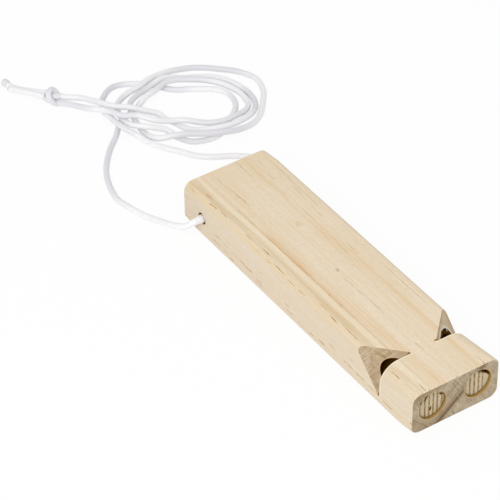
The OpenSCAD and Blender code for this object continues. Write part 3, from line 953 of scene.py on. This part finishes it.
def right_slope(g, colour, z, side, behind, over, cloud, right):
    """The right slope: paler, and brown along both edges."""
    colour = g.mix(g.mul(right, 0.7), colour, SLOPE.right)
    grain = g.noise(g.join(g.mul(g.add(behind, g.mul(over, 0.9)), 1.3), g.mul(over, 0.2), 0.0))
    colour = g.mix(g.mul(g.mul(g.step(grain, 0.46, 0.62), right), 0.4), colour, SLOPE.right_grain)
    upper_edge = g.step(g.sub(top_z, z), 1.0, 0.3)
    outer_edge = g.mul(g.step(g.sub(half_w, side), 2.0, 0.4), 0.8)
    brown = g.mul(g.most(upper_edge, outer_edge), g.add(0.5, g.mul(cloud, 0.5)))
    return g.mix(g.mul(g.mul(brown, right), 0.65), colour, SLOPE.right_edge)


def torn_window(g, colour, x, y, z, behind, over, right):
    """The right window, torn wider than its bore, with a pale rim and one splinter.
    The torn part is painted dark as shade. Gives the colour, and where that painted shade is."""
    rim = from_bore(g, x, z, out=0.5, up=0.35)
    frayed = g.add(rim, g.waver(g.spread(x, y, z, 1.6, 1.6, 1.6), 0.9, detail=3.0))
    torn = g.mul(g.step(frayed, BORE_R + 1.3, BORE_R + 0.7), right)
    colour = g.mix(g.mul(torn, 0.7), colour, SLOPE.torn)
    splinter = g.step(streaks(g, over, behind, SPLINTER), 0.25, 0.6)
    # Painted shade: the torn hollow round the right window, dark brown, except on the splinter
    gap = g.mul(g.mul(g.step(frayed, BORE_R + 0.5, BORE_R + 0.38), right), g.sub(1.0, splinter))
    return g.mix(gap, colour, SLOPE.gap), gap


def notch_edges(g, colour, x, y, z, nx, nz):
    """Pale edge of the sanded lips with a painted highlight along it, and the brown floor of the saw kerf
    behind them.
    """
    corner = g.mul(g.add(g.sub(half_w, g.size(x)), g.sub(top_z, z)), math.sqrt(0.5))
    cut = g.step(corner, NOTCH_DEPTH + 0.8, NOTCH_DEPTH + 0.3)
    # Painted highlight: a thin near-white line just ahead of each notch's front edge, on pale sanded wood
    lip_highlight = g.mul(g.step(y, lip_y - 0.55, lip_y - 0.25), g.step(y, lip_y + 0.04, lip_y + 0.02))
    colour = g.mix(g.mul(g.mul(lip_highlight, cut), 0.8), colour, SLOPE.lip_highlight)
    kerf_end = lip_y + KERF_W
    slot = g.mul(g.step(y, lip_y - 0.02, lip_y + 0.02), g.step(y, kerf_end + 0.1, kerf_end + 0.02))
    floor = g.mul(g.step(g.size(nx), 0.6, 0.68), g.step(nz, 0.6, 0.68))
    return g.mix(g.mul(slot, floor), colour, SLOPE.kerf)


def hole_walls(g, colour, x, y, z):
    """Walls of the bores and of the cord hole: golden at the mouth, then painted shade:
    dark with a glued joint round the plugs, brown further in, and darker deeper in the cord hole.
    Gives the colour, and where the walls of the bores are."""
    wall = g.mul(g.step(from_bore(g, x, z), BORE_R + 0.07, BORE_R + 0.03), g.step(y, hole_y - 6, hole_y - 7))
    # Glued joint and painted shade round the plugs, painted shade further in
    tone = g.mix(g.step(y, plug_y - 0.35, plug_y - 0.05), WALL.mouth, WALL.glue_and_shade)
    tone = g.mix(g.step(y, plug_y + 0.2, plug_y + 0.6), tone, WALL.chamber_shade)
    colour = g.mix(wall, colour, tone)
    drilled = g.far(g.sub(y, hole_y), g.sub(z, HOLE_Z))
    inside = g.mul(g.step(drilled, HOLE_R + 0.12, HOLE_R + 0.02), g.step(g.size(x), half_w, half_w - 0.05))
    # Painted shade in the cord hole, darker deeper in
    painted_hole_shade = g.mix(g.step(g.size(x), half_w - 1.5, half_w), WALL.hole, WALL.hole_end)
    return g.mix(inside, colour, painted_hole_shade), wall


def dowel_material():
    """Dowel end grain: upright thin brown rings in pale wood, with painted shade round the edge and on the
    right plug's flat.
    """
    material, g = new_material("dowel")
    x, y, z = g.place()
    waver = g.waver(g.spread(x, y, z, 0.6, 0.05, 0.7), 0.9, detail=4.0, rough=0.7)
    fine = g.noise(g.spread(x, y, z, 4.0, 0.4, 1.2), detail=3.0)
    colour = g.mix(g.step(fine, 0.35, 0.7), DOWEL.pale, DOWEL.tan)
    lines = streaks(g, g.add(x, waver), z, PLUG_LINES)
    broken = g.step(g.noise(g.spread(x, y, z, 2.5, 0.4, 1.3)), 0.32, 0.58)
    colour = g.mix(g.mul(lines, g.add(0.5, g.mul(broken, 0.5))), colour, DOWEL.ring)
    # Painted shade, darker towards the edge of the recessed plug
    colour = g.tint(colour, DOWEL.rim, 0.6, from_bore(g, x, z), BORE_R - 0.75, BORE_R - 0.15)
    flat = slanted(g, g.sub(x, bore_x), g.sub(z, bore_z), *FLAT_SLANT)
    # Painted shade on the right plug's flat by the windway; the chips below carry it too
    painted_flat_shade = g.mul(g.step(flat, FLAT_AT, FLAT_AT + 0.4), 0.85)
    chips = g.most(g.step(streaks(g, x, z, PLUG_CHIPS), 0.1, 0.6), painted_flat_shade)
    colour = g.mix(chips, colour, DOWEL.chip)
    height = g.sub(fine, g.add(g.mul(lines, 0.6), chips))
    g.shader(colour, 0.75, height, 0.06 * MM, Specular_IOR_Level=0.08)
    return material


def satin_material(name, shades):
    """White satin cord, with a fine slanted braid and some stretches in shade."""
    material, g = new_material(name)
    spot = g.node("ShaderNodeUVMap", {}, uv_map=UV_NAME).outputs[0]
    length, turn, _ = g.split(spot)
    fold = g.math("PINGPONG", turn, cord_d * math.pi / BRAID_FOLDS)
    wave = g.math("SINE", g.mul(g.add(length, fold), 2 * math.pi / BRAID_STEP))
    braid = g.step(wave, -0.8, 0.6)
    speck = g.noise(g.join(g.mul(length, 1.2), g.mul(turn, 1.4), 0.0))
    cloud = g.noise(g.join(g.mul(length, 0.09), g.mul(turn, 0.2), 0.0))
    colour = g.mix(braid, SATIN.braid, SATIN.white)
    colour = g.tint(colour, SATIN.speck, 0.5, speck, 0.44, 0.62)
    colour = g.tint(colour, SATIN.cloud, 0.12, cloud, 0.5, 0.7)
    rows = [(start, end, 0.0, 0.0, 1.0, strength) for start, end, strength in shades]
    shade = g.mul(streaks(g, 0.0, length, rows), g.sub(1.2, g.mul(braid, 0.45)))
    colour = g.mix(shade, colour, SATIN.shade)
    height = g.add(g.mul(braid, 0.8), g.mul(speck, 0.5))
    g.shader(colour, 0.42, height, 0.06 * MM, Specular_IOR_Level=0.6, Sheen_Weight=0.35)
    return material


def seal_material():
    """Cord end melted shut: greyer and a little glossy."""
    material, g = new_material("sealed_end")
    x, y, z = g.place()
    lumps = g.noise(g.spread(x, y, z, 1.2, 1.2, 1.2), detail=4.0)
    colour = g.mix(lumps, SATIN.seal, SATIN.pale_seal)
    g.shader(colour, 0.4, lumps, 0.2 * MM, Specular_IOR_Level=0.4)
    return material


# Pieces

def dress(piece, material, slot, *nodes):
    """Gives a new piece its material and its place in the part."""
    piece.data.materials.append(material)
    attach(piece, "root")
    if nodes:
        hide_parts(*nodes)
    return piece


def add_cord():
    """The neck cord: two laid strands, the stretch in the hole, the knot and the two tips."""
    satin = satin_material("satin_cord", [])
    seal = seal_material()
    near_route = laid(NEAR_RUN) + coil(NEAR_REACH, NEAR_LIFT) + laid(NEAR_TAIL) + in_knot(NEAR_ENTRY)
    far_route = laid(FAR_RUN) + coil(FAR_REACH, FAR_LIFT) + laid(FAR_TAIL) + in_knot(FAR_ENTRY)
    near_nodes = ("cord_near_run", "cord_near_coil", "cord_near_tail")
    far_nodes = ("cord_far_run", "cord_far_coil", "cord_far_tail")
    near = add_strand("cord_near_strand", near_route, EXIT_SWELL, NEAR_SHADES, near_nodes)
    far = add_strand("cord_far_strand", far_route, NO_SWELL, FAR_SHADES, far_nodes)
    through, along = even(np.array([near_route[0], far_route[0]], float), STRAND_STEP)
    inside = sweep("cord_through_hole", through, SATIN_R * np.interp(along, *EXIT_SWELL))
    dress(inside, satin, "cord", "cord_in_hole")
    knot = add_knot(satin_material("satin_knot", KNOT_SHADES))
    near_end = add_tip("near", NEAR_TIP, NEAR_END, satin, seal)
    far_end = add_tip("far", FAR_TIP, FAR_END, satin, seal)


def add_strand(name, route, swell, shades, nodes):
    """One strand from the hole to the knot. Gives the piece, its middle line and its length."""
    line, along = even(smooth(route, ROUTE_PIECES, cord_r), STRAND_STEP)
    piece = sweep(name, line, SATIN_R * np.interp(along, *swell), along=along)
    return dress(piece, satin_material(name, shades), "cord", *nodes), line, along[-1]


def add_tip(name, places, swell, satin, seal):
    """A tip beyond the knot, and its sealed end.
    swell is three shares of the radius: shortly before the end, at it, and of the seal."""
    start, neck, end = swell
    line, along = even(smooth(in_knot(places), ROUTE_PIECES), KNOT_STEP)
    radii = SATIN_R * np.interp(along, along[-1] + np.array(TIP_SWELL_AT), [1, start, neck])
    tip = dress(sweep(f"cord_{name}_end", line, radii), satin, "cord", f"cord_{name}_tip")
    heading = line[-1] - line[-2]
    heading /= np.linalg.norm(heading)
    rings = line[-1] + np.array(SEAL_AT)[:, None] * heading
    shares = np.array([neck, *(end * form for form in SEAL_FORM), SEAL_POINT]) * SEAL_COVER
    cap = sweep(f"cord_{name}_seal", rings, SATIN_R * shares)
    return tip, dress(cap, seal, "cord")


def add_knot(satin):
    """The tied knot: the near strand goes once round the far one and out beside it."""
    core, _ = even(smooth(in_knot(FAR_CORE), CORE_PIECES), KNOT_STEP)
    wrap = [
        (along, share * KNOT_R * math.cos(math.radians(turn)), share * KNOT_R * math.sin(math.radians(turn)))
        for turn, along, share in WRAP
    ]
    band, _ = even(smooth(in_knot([NEAR_ENTRY[-1], *wrap, NEAR_TIP[0]]), ROUTE_PIECES), KNOT_STEP)
    knot = sweep("cord_tied_knot", band, SATIN_R)
    join([knot, sweep("knot_core", core, CORE_SWELL * SATIN_R)])
    return dress(knot, satin, "cord", "cord_knot")


def join(objects):
    """Makes one object of several meshes, named after the first."""
    with bpy.context.temp_override(
        active_object=objects[0],
        object=objects[0],
        selected_objects=objects,
        selected_editable_objects=objects,
    ):
        bpy.ops.object.join()


def dress_wood():
    """Finishes the block and the two plugs, which keep their solids."""
    pine = pine_material()
    dowel = dowel_material()
    for node, material in (("whistle_body", pine), ("left_fipple_plug", dowel), ("right_fipple_plug", dowel)):
        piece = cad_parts[node]
        piece.data.materials.clear()
        piece.data.materials.append(material)


# Camera and stage

def add_camera():
    """The photograph's view: a long lens from the front left, about 40 degrees above the table."""
    azimuth, elevation, roll = (math.radians(a) for a in (CAMERA_AZIMUTH, CAMERA_ELEVATION, CAMERA_ROLL))
    back = Vector((
        math.sin(azimuth) * math.cos(elevation),
        -math.cos(azimuth) * math.cos(elevation),
        math.sin(elevation),
    ))
    data = bpy.data.cameras.new("camera")
    data.sensor_width = SENSOR_WIDTH
    data.lens = LENS
    data.clip_start, data.clip_end = CAMERA_CLIP
    camera = linked("camera", data)
    camera.location = Vector(CAMERA_TARGET) + back * CAMERA_DISTANCE
    camera.rotation_mode = "QUATERNION"
    camera.rotation_quaternion = back.to_track_quat("Z", "Y") @ Matrix.Rotation(-roll, 3, "Z").to_quaternion()
    bpy.context.scene.camera = camera


def add_floor():
    """A pale floor that looks white, and still takes the object's shadow."""
    material, g = new_material("floor")
    diffuse = g.node("ShaderNodeBsdfDiffuse", {"Color": FLOOR_COLOUR}).outputs[0]
    glow = g.node("ShaderNodeEmission", {"Color": WHITE, "Strength": 1.0}).outputs[0]
    rays = g.node("ShaderNodeLightPath", {}).outputs
    seen = g.most(rays["Is Camera Ray"], g.most(rays["Is Glossy Ray"], rays["Is Transmission Ray"]))
    mixed = g.node("ShaderNodeMixShader", {0: g.mul(seen, FLOOR_GLOW), 1: diffuse, 2: glow}).outputs[0]
    g.node("ShaderNodeOutputMaterial", {"Surface": mixed})
    mesh = bpy.data.meshes.new("floor")
    corners = [(x * FLOOR_HALF, y * FLOOR_HALF, 0) for x, y in ((-1, -1), (1, -1), (1, 1), (-1, 1))]
    mesh.from_pydata(corners, [], [(0, 1, 2, 3)])
    mesh.materials.append(material)
    floor = linked("floor", mesh)
    floor.location.z = -FLOOR_DROP


def add_light():
    """A sky that the camera sees as white, and one soft lamp at the upper left."""
    world = bpy.data.worlds.new("sky")
    world.use_nodes = True
    g = Graph(world.node_tree)
    rays = g.node("ShaderNodeLightPath", {}).outputs
    sky = g.node("ShaderNodeBackground", {"Color": SKY_COLOUR, "Strength": SKY_STRENGTH}).outputs[0]
    white = g.node("ShaderNodeBackground", {"Color": WHITE}).outputs[0]
    mixed = g.node("ShaderNodeMixShader", {0: rays["Is Camera Ray"], 1: sky, 2: white}).outputs[0]
    g.node("ShaderNodeOutputWorld", {"Surface": mixed})
    bpy.context.scene.world = world

    data = bpy.data.lights.new("key", "AREA")
    data.shape = "DISK"
    data.size = LAMP_SIZE
    data.energy = LAMP_POWER
    lamp = linked("key", data)
    lamp.location = LAMP_AT
    lamp.rotation_mode = "QUATERNION"
    lamp.rotation_quaternion = (Vector(LAMP_AIM) - Vector(LAMP_AT)).to_track_quat("-Z", "Y")


bpy.context.scene.view_settings.view_transform = "Standard"
add_camera()
add_cord()
dress_wood()
add_floor()
add_light()
